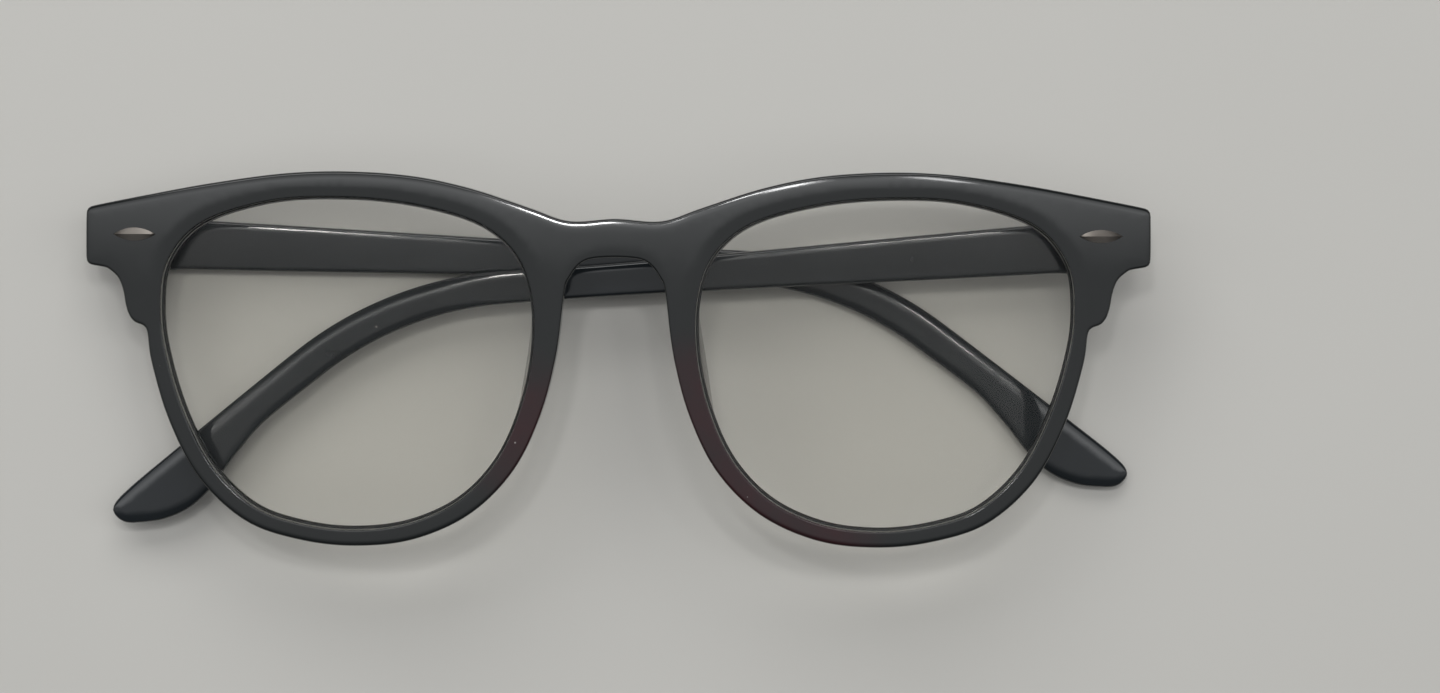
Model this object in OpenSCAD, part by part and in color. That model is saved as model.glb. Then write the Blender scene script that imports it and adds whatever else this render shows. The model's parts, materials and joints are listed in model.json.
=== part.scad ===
// Blue light glasses, folded and lying front-up on their own temples.
// +X is the picture's right, +Y the brow side, +Z up from the table. The origin is on the
// table, under the middle of the front. Left and right are the wearer's, so the left temple
// hangs from the picture-right end piece. The right temple was folded last and lies on the table.

/* [Lenses] */
// Width of one lens opening
lens_w = 50.8; // [46:0.2:56]
// Height of one lens opening
lens_h = 44.6; // [40:0.2:50]
// Distance between the two lens openings
lens_gap = 21.2; // [18.6:0.2:25]
// Thickness of a lens
lens_t = 1.8; // [1.4:0.1:2.2]
// Depth of the groove that holds a lens
groove_depth = 0.7; // [0.5:0.05:1]

/* [Front] */
// Radius of the front's curved face
face_radius = 300; // [240:5:500]
// Thickness of the front, from face to back
front_t = 3.6; // [3.2:0.1:4.4]
// How far an end piece reaches past its lens
end_reach = 10.4; // [9.2:0.1:12]
// Height of the brow above a lens
brow_h = 3.4; // [2.8:0.1:4.6]
// Height of the bridge's upper edge above the middle of the front
bridge_top = 18.8; // [17:0.1:21]
// Height of the bridge itself
bridge_h = 5.1; // [4:0.1:6]
// Width of the rim under a lens
rim_w = 2.1; // [1.7:0.1:2.8]
// How far the lip behind a lens covers it
rear_lip = 0.5; // [0.2:0.05:0.6]

/* [Nose pads] */
// Length of a moulded nose pad
pad_len = 16; // [12:0.5:18]
// Half the thickness of a nose pad
pad_r = 2.6; // [2.2:0.1:3]
// How far a nose pad stands out behind the rim
pad_back = 3.4; // [2:0.1:4]

/* [Plaques] */
// Length of the almond plaque on an end piece
plaque_len = 5.8; // [4.5:0.1:6.5]
// Width of the plaque
plaque_w = 1.7; // [1.2:0.1:2.4]
// Height of the plaque's ridge above the front
plaque_rise = 0.35; // [0.15:0.05:0.6]
// Diameter of the plaque's two posts
post_d = 0.9; // [0.6:0.05:1.1]

/* [Hinges] */
// Radius of a hinge knuckle
knuckle_r = 1.35; // [1.1:0.05:1.5]
// Height of the five knuckles together
hinge_h = 5.4; // [4.6:0.1:5.8]
// Diameter of the hinge screw's shank
screw_d = 1.2; // [0.9:0.05:1.5]
// Diameter of the hinge screw's head
screw_head_d = 2.2; // [1.8:0.1:2.6]
// Thickness of a hinge leaf
leaf_t = 0.8; // [0.6:0.05:1]
// Distance from the hinge's axis out to the end of the front
hinge_inset = 5.8; // [5.3:0.1:6]
// Diameter of the studs that hold the front leaf
stud_d = 1.2; // [0.8:0.1:1.4]

/* [Temples] */
// Length of a temple, from hinge to tip along its middle
temple_len = 144.6; // [138:0.2:150]
// Length of the straight bar, from hinge to bend
bar_len = 82; // [76:0.5:86]
// Radius of the bend, along the middle
bend_radius = 48; // [36:1:54]
// Angle that the bend turns through
bend_angle = 35; // [30:0.5:38]
// Height of a temple at the hinge
butt_h = 6.7; // [6.2:0.1:7]
// Height of the bar before the bend
bar_h = 4.4; // [3.8:0.1:5.2]
// Height of the tail behind the bend
tail_h = 4.8; // [4:0.1:5.2]
// Length of the straight tail between the bend and the paddle
tail_len = 10; // [6:0.5:12]
// Greatest width of the paddle at the tip
paddle_w = 7.4; // [6.4:0.1:8.4]
// Thickness of a temple at the hinge
temple_t = 3.2; // [2.8:0.1:3.6]
// How much thinner the temple is behind the bar's middle
temple_thin = 0.4; // [0:0.1:0.6]
// How far the left temple slopes down from square to its hinge
left_drop_angle = 4.2; // [3:0.1:5]
// How far the right temple slopes down from square to its hinge
right_drop_angle = 2.2; // [1.6:0.1:4]
// Width of the wire inside a temple
core_w = 1.6; // [1:0.1:2]
// Thickness of the wire inside a temple
core_t = 1.2; // [0.8:0.1:1.3]

/* [Folding] */
// How far the left temple folds past level with the front
over_fold = 1.2; // [1:0.1:1.6]
// Space between the folded temples where they cross
stack_gap = 0.3; // [0.2:0.05:0.6]

/* [Clearances] */
// Space around a lens in its groove
lens_play = 0.05; // [0.02:0.01:0.1]
// Space around pieces pressed into the plastic
press_play = 0.02; // [0.01:0.01:0.05]
// Space between a hinge screw and a turning knuckle
run_play = 0.04; // [0.02:0.01:0.08]
// Space between neighbouring knuckles, and between the open temple and its stop
swing_play = 0.06; // [0.04:0.01:0.1]

/* [Hidden] */
LEFT = 1;
RIGHT = -1;
$fn = 48;

// Colours
frame_black = [0.045, 0.05, 0.06];
temple_black = [0.06, 0.07, 0.085];
lens_clear = [0.86, 0.86, 0.84, 0.35];
nickel = [0.72, 0.70, 0.67];
steel = [0.62, 0.63, 0.65];

// Places in the front's own frame: x across, y up the face, z out of the middle of the face
over_cut = 1;
curve_steps = 4;
ball_facets = 180;
lens_x = (lens_gap + lens_w) / 2;
lens_low = 0.7;
lens_out = lens_x + lens_w / 2;
half_w = lens_out + end_reach;
bridge_low = bridge_top - bridge_h;
lens_front_lip = (front_t - lens_t) / 2;
end_top = 20.2;
end_low = 12.3;
end_corner_r = 0.8;

// The hinge: the axis runs along y, half_w less hinge_inset from the middle
hinge_x = half_w - hinge_inset;
hinge_y = (end_top + end_low) / 2 - 1.1;
seat_in = lens_out + 1;
seat_behind = 0.25;
seat_z = sqrt(pow(face_radius - front_t, 2) - pow(hinge_x, 2) - pow(hinge_y, 2)) - face_radius - seat_behind;
hinge_z = seat_z - knuckle_r;
butt_past = 0.6;
butt_z = hinge_z + butt_past + swing_play;
wall_x = hinge_x + knuckle_r + 0.15;
temple_in = 1.8;
knuckles = 5;
leaf_len = 4.6;
leaf_from = 0.4;
stud_len = 1.8;
stud_spread = 3.2;
screw_head_h = 0.6;
screw_slot = 0.3;
plaque_sink = 0.5;
post_len = 1.2;
post_spread = 2.8;
plaque_y = 16.5;

// The temple's side view: distances along its middle
bar_taper_from = 8;
bar_taper_to = 66;
bend_arc = bend_radius * bend_angle * PI / 180;
bend_steps = 11;
paddle_from = bar_len + bend_arc + tail_len;
paddle_len = temple_len - paddle_from;
core_from = leaf_from + press_play + 0.4;

// The folded pair on the table: the right temple lies flat, so the front leans with it
cross_from = 47;
lean = asin((temple_t + stack_gap - (2 * hinge_x - cross_from) * sin(over_fold)) / cross_from);
rise = temple_in + temple_t + hinge_x * sin(lean) - hinge_z * cos(lean);
shift_x = (face_z(half_w, end_low + end_corner_r) + butt_z) * sin(lean) / 2;

// ---- Curves ----

// A smooth curve through four points, between the second and the third
function bend(a, b, c, d, t) = 0.5 * (2 * b + (c - a) * t + (2 * a - 5 * b + 4 * c - d) * t * t
    + (3 * b - a - 3 * c + d) * t * t * t);
function smooth(p) = let (n = len(p) - 1) concat(
    [for (i = [0 : n - 1]) for (k = [0 : curve_steps - 1])
        bend(p[max(i - 1, 0)], p[i], p[i + 1], p[min(i + 2, n)], k / curve_steps)],
    [p[n]]);
function smooth_loop(p) = let (n = len(p))
    [for (i = [0 : n - 1]) for (k = [0 : curve_steps - 1])
        bend(p[(i + n - 1) % n], p[i], p[(i + 1) % n], p[(i + 2) % n], k / curve_steps)];
function arc(c, r, a0, a1) = [for (k = [0 : curve_steps]) let (a = a0 + (a1 - a0) * k / curve_steps)
    c + r * [cos(a), sin(a)]];
function flipped(p) = [for (i = [len(p) - 1 : -1 : 0]) [-p[i].x, p[i].y]];
// The way out of a loop that runs clockwise
function outward(p, i) = let (n = len(p), t = p[(i + 1) % n] - p[(i + n - 1) % n]) [-t.y, t.x] / norm(t);
function grown(p, d) = [for (i = [0 : len(p) - 1]) p[i] + d * outward(p, i)];

// ---- The front's outline ----

// One lens opening in halves of its width and height, clockwise from the top, towards the temple first
eye_shape = [[0.02, 1], [0.41, 0.975], [0.78, 0.84], [0.965, 0.6], [1, 0.3], [0.965, 0.02],
    [0.87, -0.32], [0.72, -0.64], [0.5, -0.87], [0.24, -0.97], [-0.04, -1], [-0.33, -0.955],
    [-0.6, -0.81], [-0.8, -0.57], [-0.925, -0.26], [-0.99, 0.08], [-0.985, 0.41],
    [-0.9, 0.665], [-0.7, 0.85], [-0.36, 0.96]];
function at_lens(u, v) = [lens_x + u * lens_w / 2, v * lens_h / 2 - lens_low];
eye_points = [for (p = eye_shape) at_lens(p.x, p.y)];
eye = smooth_loop(eye_points);
// What the rim is wider there, in shares of rim_w, from beside the end piece to the nose
rim_extra = [0.05, 0.1, 0.1, 0.05, 0, 0, 0.05, 0.1, 0.2, 0.3, 0.48, 1.08];
rim_first = 5;
rim_points = [for (k = [0 : len(rim_extra) - 1]) let (i = rim_first + k)
    eye_points[i] + rim_w * (1 + rim_extra[k]) * outward(eye_points, i)];
// The brow's upper edge in the same halves of a lens opening, before it is raised by brow_h
brow_shape = [[-0.97, 0.785], [-0.66, 0.9], [-0.35, 0.973], [0, 1], [0.33, 0.987], [0.69, 0.933],
    [1.03, 0.865]];
// The end piece's lower edge, in shares of end_reach from its lower corner
lobe_shape = [[0.29, 0.04], [0.43, 0.16], [0.5, 0.33], [0.53, 0.5], [0.58, 0.65], [0.66, 0.74], [0.75, 0.77],
    [0.82, 0.85]];
// The side of the nose, in shares of half of lens_gap and of bridge_h under the bridge
nose_shape = [[0.565, 0.53], [0.46, 0.22], [0.31, 0.05]];

top_half = concat([[0, bridge_top], [0.575 * lens_gap / 2, bridge_top - 0.06 * bridge_h]],
    [for (p = brow_shape) at_lens(p.x, p.y) + [0, brow_h]],
    [[half_w - 0.8 * end_corner_r, end_top]]);
end_points = concat(
    arc([half_w - end_corner_r, end_top - end_corner_r], end_corner_r, 66, 0),
    arc([half_w - end_corner_r, end_low + end_corner_r], end_corner_r, 0, -80));
low_half = concat([for (p = lobe_shape) [half_w, end_low] - end_reach * p], rim_points,
    [for (p = nose_shape) [p.x * lens_gap / 2, bridge_low - p.y * bridge_h]]);
front_outline = concat(
    smooth(concat(flipped([for (i = [1 : len(top_half) - 1]) top_half[i]]), top_half)),
    end_points,
    smooth(concat(low_half, [[0, bridge_low]], flipped(low_half))),
    flipped(end_points));

// ---- Helpers in the front's frame ----

// Depth of the curved face at a point of the front
function face_z(x, y) = sqrt(face_radius * face_radius - x * x - y * y) - face_radius;

// Everything up to a depth under the curved face
module under_face(depth) {
    translate([0, 0, -face_radius]) sphere(r = face_radius - depth, $fn = ball_facets);
}

// A plate of the front between two depths
module curved_plate(outline, from, to) {
    difference() {
        intersection() {
            translate([0, 0, -face_radius / 8]) linear_extrude(face_radius / 4) polygon(outline);
            under_face(from);
        }
        under_face(to);
    }
}

// A straight cut through the front, from a depth backwards
module cut_back(outline) {
    translate([0, 0, -face_radius / 8]) linear_extrude(face_radius / 4) polygon(outline);
}

// Stands children on the curved face, z out of it
module on_face(x, y) {
    translate([0, 0, -face_radius])
        rotate([0, atan2(x, face_z(x, y) + face_radius), 0])
            rotate([-asin(y / face_radius), 0, 0])
                translate([0, 0, face_radius]) children();
}

module on_both_sides() {
    children();
    mirror([1, 0, 0]) children();
}

// The picture-left half is drawn, and the left temple's side is its mirror image
module on_side(side) {
    if (side == RIGHT) children();
    else mirror([1, 0, 0]) children();
}

// Lays the front on the folded temples
module lying() {
    translate([shift_x, 0, rise]) rotate([0, -lean, 0]) children();
}

module at_hinge() {
    translate([-hinge_x, hinge_y, hinge_z]) children();
}

// A folded temple's frame: x along the bar, y up, outer face towards -z, origin on the hinge's axis
module on_temple(side) {
    lying() on_side(side) at_hinge() rotate([0, side == RIGHT ? lean : -over_fold, 0]) children();
}

// ---- Plaques ----

module almond(grow, depth, rise_by) {
    half = plaque_len / 2;
    reach = (half * half - plaque_w * plaque_w / 4) / plaque_w;
    bow = reach + plaque_w / 2;
    translate([0, 0, -depth]) intersection() {
        translate([0, -reach, 0]) cylinder(r = bow + grow, h = depth + rise_by, $fn = 96);
        translate([0, reach, 0]) cylinder(r = bow + grow, h = depth + rise_by, $fn = 96);
    }
}

module at_posts() {
    for (side = [-1, 1]) translate([side * post_spread / 2, 0, 0]) children();
}

module plaque() {
    on_face(-(hinge_x - 1), plaque_y) {
        intersection() {
            almond(0, plaque_sink, plaque_rise);
            rotate([0, 90, 0]) translate([0, 0, -plaque_len]) linear_extrude(2 * plaque_len)
                polygon([[plaque_sink, -plaque_w], [0, -plaque_w], [-plaque_rise, 0],
                    [0, plaque_w], [plaque_sink, plaque_w]]);
        }
        at_posts() translate([0, 0, -plaque_sink - post_len]) cylinder(d = post_d, h = post_len);
    }
}

module plaque_seat() {
    on_face(-(hinge_x - 1), plaque_y) {
        almond(press_play, plaque_sink, over_cut);
        at_posts() translate([0, 0, -plaque_sink - post_len - press_play])
            cylinder(d = post_d + 2 * press_play, h = post_len + 2 * press_play);
    }
}

// ---- Front ----

// Fills an end piece back to the seat of the hinge and to the stop of the temple
module end_block() {
    intersection() {
        cut_back(front_outline);
        under_face(0);
        union() {
            translate([-wall_x, end_low - 8, seat_z]) cube([wall_x - seat_in, 20, -seat_z]);
            translate([-half_w - over_cut, end_low - 8, butt_z])
                cube([half_w - wall_x + over_cut, 20, -butt_z]);
        }
    }
}

// What is cut off behind those two planes
module end_trim() {
    translate([-wall_x, -face_radius / 8, seat_z - 20]) cube([wall_x - seat_in, face_radius / 4, 20]);
    translate([-half_w - over_cut, -face_radius / 8, butt_z - 20])
        cube([half_w - wall_x + over_cut, face_radius / 4, 20]);
}

module at_studs() {
    for (side = [-1, 1]) translate([-(seat_in + wall_x) / 2 + 0.6, hinge_y + side * stud_spread / 2, 0])
        children();
}

module nose_pad() {
    pad_side = 12;
    pad_tilt = 8;
    pad_low = 0.5;
    pad_in = 2.2;
    nose_x = lens_gap / 2 - pad_in;
    translate([-nose_x - pad_r, -pad_low, face_z(nose_x, pad_low) - front_t - pad_back + pad_r])
        rotate([90 + pad_tilt, 0, -pad_side])
            rotate_extrude($fn = 48)
                polygon([for (a = [-90 : 15 : 90]) [pad_r * cos(a), pad_len / 2 * sin(a)]]);
}

module front_frame() {
    color(frame_black) lying() difference() {
        union() {
            curved_plate(front_outline, 0, front_t);
            on_both_sides() {
                end_block();
                nose_pad();
            }
        }
        on_both_sides() {
            end_trim();
            lens_seat();
            plaque_seat();
            at_studs() translate([0, 0, seat_z - over_cut])
                cylinder(d = stud_d + 2 * press_play, h = stud_len + over_cut + press_play);
        }
    }
}

// ---- Lenses ----

module lens_seat() {
    mirror([1, 0, 0]) {
        difference() {
            cut_back(eye);
            under_face(lens_front_lip + lens_t / 2);
        }
        curved_plate(grown(eye, groove_depth), lens_front_lip - lens_play,
            lens_front_lip + lens_t + lens_play);
        cut_back(grown(eye, -rear_lip));
    }
}

module lens(side) {
    color(lens_clear) lying() on_side(side) mirror([1, 0, 0])
        curved_plate(grown(eye, groove_depth - lens_play), lens_front_lip, lens_front_lip + lens_t);
}

// ---- Hinges ----

knuckle_h = hinge_h / knuckles;

// Places children once for each knuckle of a leaf, z along the hinge's axis
module at_knuckles(first) {
    for (k = [first : 2 : knuckles - 1])
        rotate([-90, 0, 0]) translate([0, 0, -hinge_h / 2 + k * knuckle_h]) children();
}

module knuckle_bore(d) {
    rotate([90, 0, 0]) cylinder(d = d, h = hinge_h + 2 * over_cut, center = true);
}

module front_hinge(side) {
    leaf_out = wall_x - press_play;
    leaf_in = seat_in + 0.3;
    color(steel) lying() on_side(side) {
        at_hinge() difference() {
            union() {
                at_knuckles(0) cylinder(r = knuckle_r, h = knuckle_h - swing_play);
                translate([hinge_x - leaf_out, -hinge_h / 2, knuckle_r - leaf_t])
                    cube([leaf_out - leaf_in, hinge_h, leaf_t]);
            }
            at_knuckles(1) translate([0, 0, -swing_play])
                cylinder(r = knuckle_r + swing_play, h = knuckle_h + swing_play);
            knuckle_bore(screw_d + 2 * press_play);
        }
        at_studs() translate([0, 0, seat_z - leaf_t / 2]) cylinder(d = stud_d, h = stud_len + leaf_t / 2);
    }
}

module temple_hinge(side) {
    color(steel) on_temple(side) difference() {
        union() {
            at_knuckles(1) cylinder(r = knuckle_r, h = knuckle_h - swing_play);
            at_knuckles(1) translate([leaf_from, 0, 0])
                cube([knuckle_r - leaf_from, temple_in + leaf_t / 2, knuckle_h - swing_play]);
            translate([leaf_from, -hinge_h / 2, -temple_in - leaf_t]) cube([leaf_len, hinge_h, leaf_t]);
        }
        knuckle_bore(screw_d + 2 * run_play);
    }
}

module hinge_screw(side) {
    color(nickel) lying() on_side(side) at_hinge() rotate([-90, 0, 0]) {
        translate([0, 0, -hinge_h / 2]) cylinder(d = screw_d, h = hinge_h);
        difference() {
            translate([0, 0, hinge_h / 2]) cylinder(d = screw_head_d, h = screw_head_h);
            translate([0, 0, hinge_h / 2 + screw_head_h])
                cube([screw_head_d + over_cut, screw_slot, screw_head_h], center = true);
        }
    }
}

// ---- Temples ----

// How far the middle line has turned down at a distance from the hinge
function turned(s) = bend_angle * max(0, min(1, (s - bar_len) / bend_arc));
function past(s, from) = max(0, s - from);
function middle(s) = let (a = turned(s)) [min(s, bar_len), 0]
    + bend_radius * [sin(a), cos(a) - 1]
    + past(s, bar_len + bend_arc) * [cos(a), -sin(a)];
// A point beside the middle line
function beside(s, w) = middle(s) + w * [sin(turned(s)), cos(turned(s))];

// One edge up to the paddle, as far from the middle line as the heights say
function edge(side) = concat(
    [beside(-butt_past - over_cut, side * butt_h / 2), beside(bar_taper_from, side * butt_h / 2),
     beside(bar_taper_to, side * bar_h / 2)],
    [for (k = [0 : bend_steps]) beside(bar_len + k / bend_steps * bend_arc,
        side * (bar_h + (tail_h - bar_h) * k / bend_steps) / 2)]);

// The paddle in shares of its own length and of its halves' widths, round the tip
paddle_shape = [[0, 1], [0.6, 1], [0.86, 0.94], [0.97, 0.75], [1, 0.3], [0.98, -0.2], [0.9, -0.5],
    [0.78, -0.82], [0.62, -1], [0.43, -0.92], [0.23, -0.68], [0, -tail_h / 2 / (paddle_w - tail_h / 2)]];
paddle_curve = smooth([for (p = paddle_shape) beside(paddle_from + p.x * paddle_len,
    p.y * (p.y > 0 ? tail_h / 2 : paddle_w - tail_h / 2))]);
back_edge = edge(-1);
temple_outline = concat(edge(1), paddle_curve, [for (i = [len(back_edge) - 1 : -1 : 0]) back_edge[i]]);

function strip(from, to, w) = let (n = 14) concat(
    [for (k = [0 : n]) beside(from + (to - from) * k / n, w / 2)],
    [for (k = [n : -1 : 0]) beside(from + (to - from) * k / n, -w / 2)]);

module core(side, play) {
    drop = side == LEFT ? left_drop_angle : right_drop_angle;
    rotate([0, 0, -drop]) translate([0, 0, -temple_in - leaf_t - core_t - play])
        linear_extrude(core_t + play) polygon(strip(core_from - play, paddle_from + play, core_w + 2 * play));
}

module temple_core(side) {
    color(steel) on_temple(side) core(side, 0);
}

module temple(side) {
    drop = side == LEFT ? left_drop_angle : right_drop_angle;
    reach = temple_len + over_cut;
    outer = -temple_in - temple_t;
    color(temple_black) on_temple(side) difference() {
        intersection() {
            rotate([0, 0, -drop]) translate([0, 0, outer]) linear_extrude(temple_t) polygon(temple_outline);
            rotate([90, 0, 0]) translate([0, 0, -temple_len / 2]) linear_extrude(temple_len)
                polygon([[-butt_past, -temple_in], [bar_taper_from + leaf_len, -temple_in],
                    [bar_taper_to, -temple_in - temple_thin], [reach, -temple_in - temple_thin],
                    [reach, outer], [-butt_past, outer]]);
        }
        translate([leaf_from - press_play, -hinge_h / 2 - press_play, -temple_in - leaf_t - press_play])
            cube([leaf_len + 2 * press_play, hinge_h + 2 * press_play, leaf_t + over_cut]);
        core(side, press_play);
    }
}

front_frame();
lens(LEFT);  // lens_left
lens(RIGHT);  // lens_right
color(nickel) lying() on_side(LEFT) plaque();  // plaque_left
color(nickel) lying() on_side(RIGHT) plaque();  // plaque_right
front_hinge(LEFT);  // front_hinge_left
front_hinge(RIGHT);  // front_hinge_right
temple_hinge(LEFT);  // temple_hinge_left
temple_hinge(RIGHT);  // temple_hinge_right
hinge_screw(LEFT);  // hinge_screw_left
hinge_screw(RIGHT);  // hinge_screw_right
temple(LEFT);  // temple_left
temple(RIGHT);  // temple_right
temple_core(LEFT);  // temple_core_left
temple_core(RIGHT);  // temple_core_right
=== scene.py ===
"""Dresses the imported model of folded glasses: glossy black front, clear lenses, blue-black temples.

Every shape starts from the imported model's own edges, so it follows the model when a size changes.
Sections are drawn in millimetres in the frame of the front or of a temple, and meshes end up in metres.
"""

import json
import math

import bmesh
import bpy
import numpy as np
from mathutils import Matrix, Vector, geometry
from mathutils.bvhtree import BVHTree
from mathutils.kdtree import KDTree


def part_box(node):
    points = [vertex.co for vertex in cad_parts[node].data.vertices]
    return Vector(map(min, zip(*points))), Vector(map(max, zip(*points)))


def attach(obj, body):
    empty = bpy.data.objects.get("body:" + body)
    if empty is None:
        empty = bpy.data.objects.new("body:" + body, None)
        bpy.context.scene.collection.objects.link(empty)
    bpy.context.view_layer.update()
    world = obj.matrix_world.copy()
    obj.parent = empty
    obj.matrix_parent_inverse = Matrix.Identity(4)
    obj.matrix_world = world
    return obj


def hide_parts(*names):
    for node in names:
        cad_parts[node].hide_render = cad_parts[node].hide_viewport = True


bl_info = {
    "name": "Folded Glasses Dresser",
    "version": (1, 0, 0),
    "blender": (4, 5, 0),
    "location": "3D View > Sidebar > Glasses",
    "description": "Builds the surfaces and finishes of a pair of folded glasses around their packed model",
    "category": "Object",
}

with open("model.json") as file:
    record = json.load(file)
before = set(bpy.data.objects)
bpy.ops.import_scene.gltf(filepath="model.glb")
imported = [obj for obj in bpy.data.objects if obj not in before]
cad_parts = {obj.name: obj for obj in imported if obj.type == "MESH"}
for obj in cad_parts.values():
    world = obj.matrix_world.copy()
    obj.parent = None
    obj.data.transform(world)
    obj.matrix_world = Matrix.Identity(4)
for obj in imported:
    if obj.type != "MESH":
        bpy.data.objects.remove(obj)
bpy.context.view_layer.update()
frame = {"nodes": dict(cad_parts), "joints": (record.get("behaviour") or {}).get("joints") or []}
MM = 0.001
UP = Vector((0, 1, 0))
SIDES = ("left", "right")

# The photograph's frame and the points read from it, in pixels; None where only one direction is known
IMAGE_W = 1440
IMAGE_H = 693
POINTS = {
    "left_edge": (88.3, None),
    "right_edge": (1151.4, None),
    "top_edge": (None, 171.8),
    "bottom_edge": (None, 546.0),
    "plaque_right": (134.8, 234.6),
    "plaque_left": (1102.0, 237.6),
    "opening_right_outer": (160.2, None),
    "opening_right_nose": (535.0, None),
    "opening_left_nose": (693.0, None),
    "opening_left_outer": (1075.6, None),
    "opening_right_low": (None, 529.1),
    "opening_left_low": (None, 530.7),
    "right_temple_tip": (1123.9, None),
    "left_temple_tip": (109.3, None),
    # Points where a painted glow goes on the rims: the red of light shining through the thin dark-red
    # plastic
    "wine_glow_right": (523.0, 430.0),
    "wine_glow_left_high": (701.0, 410.0),
    "wine_glow_left_mid": (744.0, 491.0),
    "wine_glow_left_low": (812.0, 530.0),
}
# The points of the painted wine-red glow
WINE_GLOW_POINTS = [name for name in POINTS if name.startswith("wine")]

# The camera, settled by the points: what it looks at, from how far, and how it leans off straight down
CAMERA_TARGET = Vector((13.7123, 1.6501, 15.0)) * MM
CAMERA_DISTANCE = 480.0 * MM
CAMERA_LEAN_X = -0.0243
CAMERA_LEAN_Y = 0.0540
CAMERA_ROLL = 0.0023
CAMERA_LENS = 89.50
SENSOR_WIDTH = 36.0

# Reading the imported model: the weld in metres, how squarely a face looks along a direction, how near an
# edge lies to a surface, a corner's least turn, and the curve's points and softening
WELD = 2e-6
LOOKS_ALONG, LOOKS_DOWN = 0.7, 0.95
ON_FACE, ON_OUTER, OFF_OUTER = 0.02, 0.01, 1.0
CORNER_TURN = math.radians(0.4)
CURVE_POINTS = 16
SOFTEN = 0.2

# Meshing: the rings' and the free rows' distances from an edge, and how free points keep apart
STRIP_INSETS = (0.16, 0.08, 0.03, 0.0)
ROW_INSETS = (0.24, 0.34, 0.44, 0.54, 0.66, 0.82, 1.05)
TEMPLE_ROW_INSETS = ROW_INSETS + (1.5,)
ROW_SHARE, ROW_SLACK = 0.97, 0.004
WALL_SHARES = (0.33, 0.67)
CAP_STEPS, CAP_APART, CAP_CLEAR = 1.6, 0.6, 0.03
LENS_CAP_STEP = 1.6

# The front's section
FACE_RADIUS = 300.0
FRONT_T = 3.6
LENS_DEPTH = 0.9
LENS_T = 1.8
LENS_PLAY = 0.05
GROOVE = 0.7
REAR_LIP = 0.42

# The front's edges: how wide its falls are, and its small radii
EDGE_FALL_WIDTH = 1.1
OPENING_FALL_WIDTH = 1.9
OPENING_ROUND = 0.12
REAR_ROUND = 0.4
REAR_FALL, REAR_FALL_WIDTH = 0.12, 1.4
LIP_ROUND = 0.3

# The end pieces' backs: the hinge's seat, a little past the opening, and the temple's stop
SEAT_PAST_OPENING = 1.0
SEAT_RAMP = (0.7, 0.05)
BLOCK_LOW, BLOCK_RAMP = 4.3, 0.5
STOP_ABOVE_AXIS = 0.66
STOP_RAMP = 0.4
WALL_PAST_KNUCKLE = 0.15

# The nose pads: their middle, half length and width, height at the back, slope, bulge and flare
PAD_X = 11.0
PAD_LOW = 0.5
PAD_HALF = 8.0
PAD_WIDE = 3.3
PAD_BACK = 3.4
PAD_SIDE = math.radians(12)
PAD_BULGE = 1.4
PAD_FLARE = 0.2

# A lens's ground edge: how far past its opening and how deep under the face each ring lies
GROUND_EDGE = ((0.02, 0.9), (-0.05, 1.7), (0.6, 1.85), (0.6, 2.0), (-0.27, 2.2), (-0.36, 2.7))

# A temple: where its tail and its paddle begin, back from the tip; how wide its faces fall, and how much
# wider and deeper there; how far the inner face lies under the hinge leaf, and where the leaf ends
TAIL_START, PADDLE_START = (55, 42), (30, 14)
TEMPLE_FALL_WIDTH, TAIL_WIDER, PADDLE_WIDER = 1.2, 0.6, 0.7
OUTER_FALL_WIDTH = 1.8
TAIL_DEEPER = 1.6
LEAF_UNDER, LEAF_END = 0.08, (5.2, 5.7)

# A plaque: its mesh, its half width at the points, its flanks, its lower ends and its depth in the face
PLAQUE_STEPS, PLAQUE_ACROSS = 48, 12
PLAQUE_POINT, PLAQUE_FLANK = 0.02, 0.62
PLAQUE_TAPER, PLAQUE_SUNK = 0.6, 0.3

# Finishes: each plastic's smudge size, dust, and least and most roughness; then what both share
FRAME_HANDLING = (11.0 * MM, 0.5, (0.06, 0.14))
TEMPLE_HANDLING = (8.0 * MM, 0.6, (0.05, 0.13))
RUB_ROUGHENS, RUB_RELIEF = 0.05, 0.03
DUST_COLOUR = (0.45, 0.44, 0.42, 1.0)
PLASTIC_IOR = 1.5
LENS_IOR = 1.22
# How far the painted wine-red glow reaches from each of its points: where it has faded out, and where it is
# full
WINE_GLOW_REACH = (12.0 * MM, 3.0 * MM)
# Each metal's colour, roughness, and how its drawn lines run
METALS = {
    "plaque_metal": ("nickel", 0.38, (700.0, 6000.0, 6000.0)),
    "hinge_steel": ("steel", 0.30, (9000.0, 1200.0, 9000.0)),
    "screw_steel": ("steel", 0.22, (9000.0, 1200.0, 9000.0)),
    "core_wire": ("steel", 0.35, (400.0, 9000.0, 9000.0)),
}

# The stage: each lamp's place and span in metres and its power, and the floor's half size
LAMPS = {
    "left_lamp": ((-0.13, 0.345, 1.15), (0.08, 0.08), 1.3),
    "right_lamp": ((0.14, 0.345, 1.15), (0.07, 0.07), 0.6),
    "middle_lamp": ((0.045, 0.40, 1.15), (0.10, 0.06), 0.7),
    "side_lamp": ((0.41, 0.33, 1.15), (0.12, 0.06), 0.35),
    "far_panel": ((-0.30, 1.50, 1.36), (2.4, 1.1), 26.0),
}
FLOOR_REACH = 3.0

# The sky: a soft patch overhead with its shift and fade, its two levels and where the brighter one
# begins, the level around it, and its colour
SKY_SCALE = (0.78, 2.27, 0.0)
SKY_SHIFT = (0.0, 0.045, 0.0)
SKY_FADE = (0.6, 1.0)
SKY_LEVELS, SKY_BRIGHTENS = (0.58, 2.2), (0.05, 0.17)
SKY_AROUND = 0.05
SKY_COLOUR = (0.97, 0.985, 1.0, 1.0)


# ---- What a user may change ----


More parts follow.
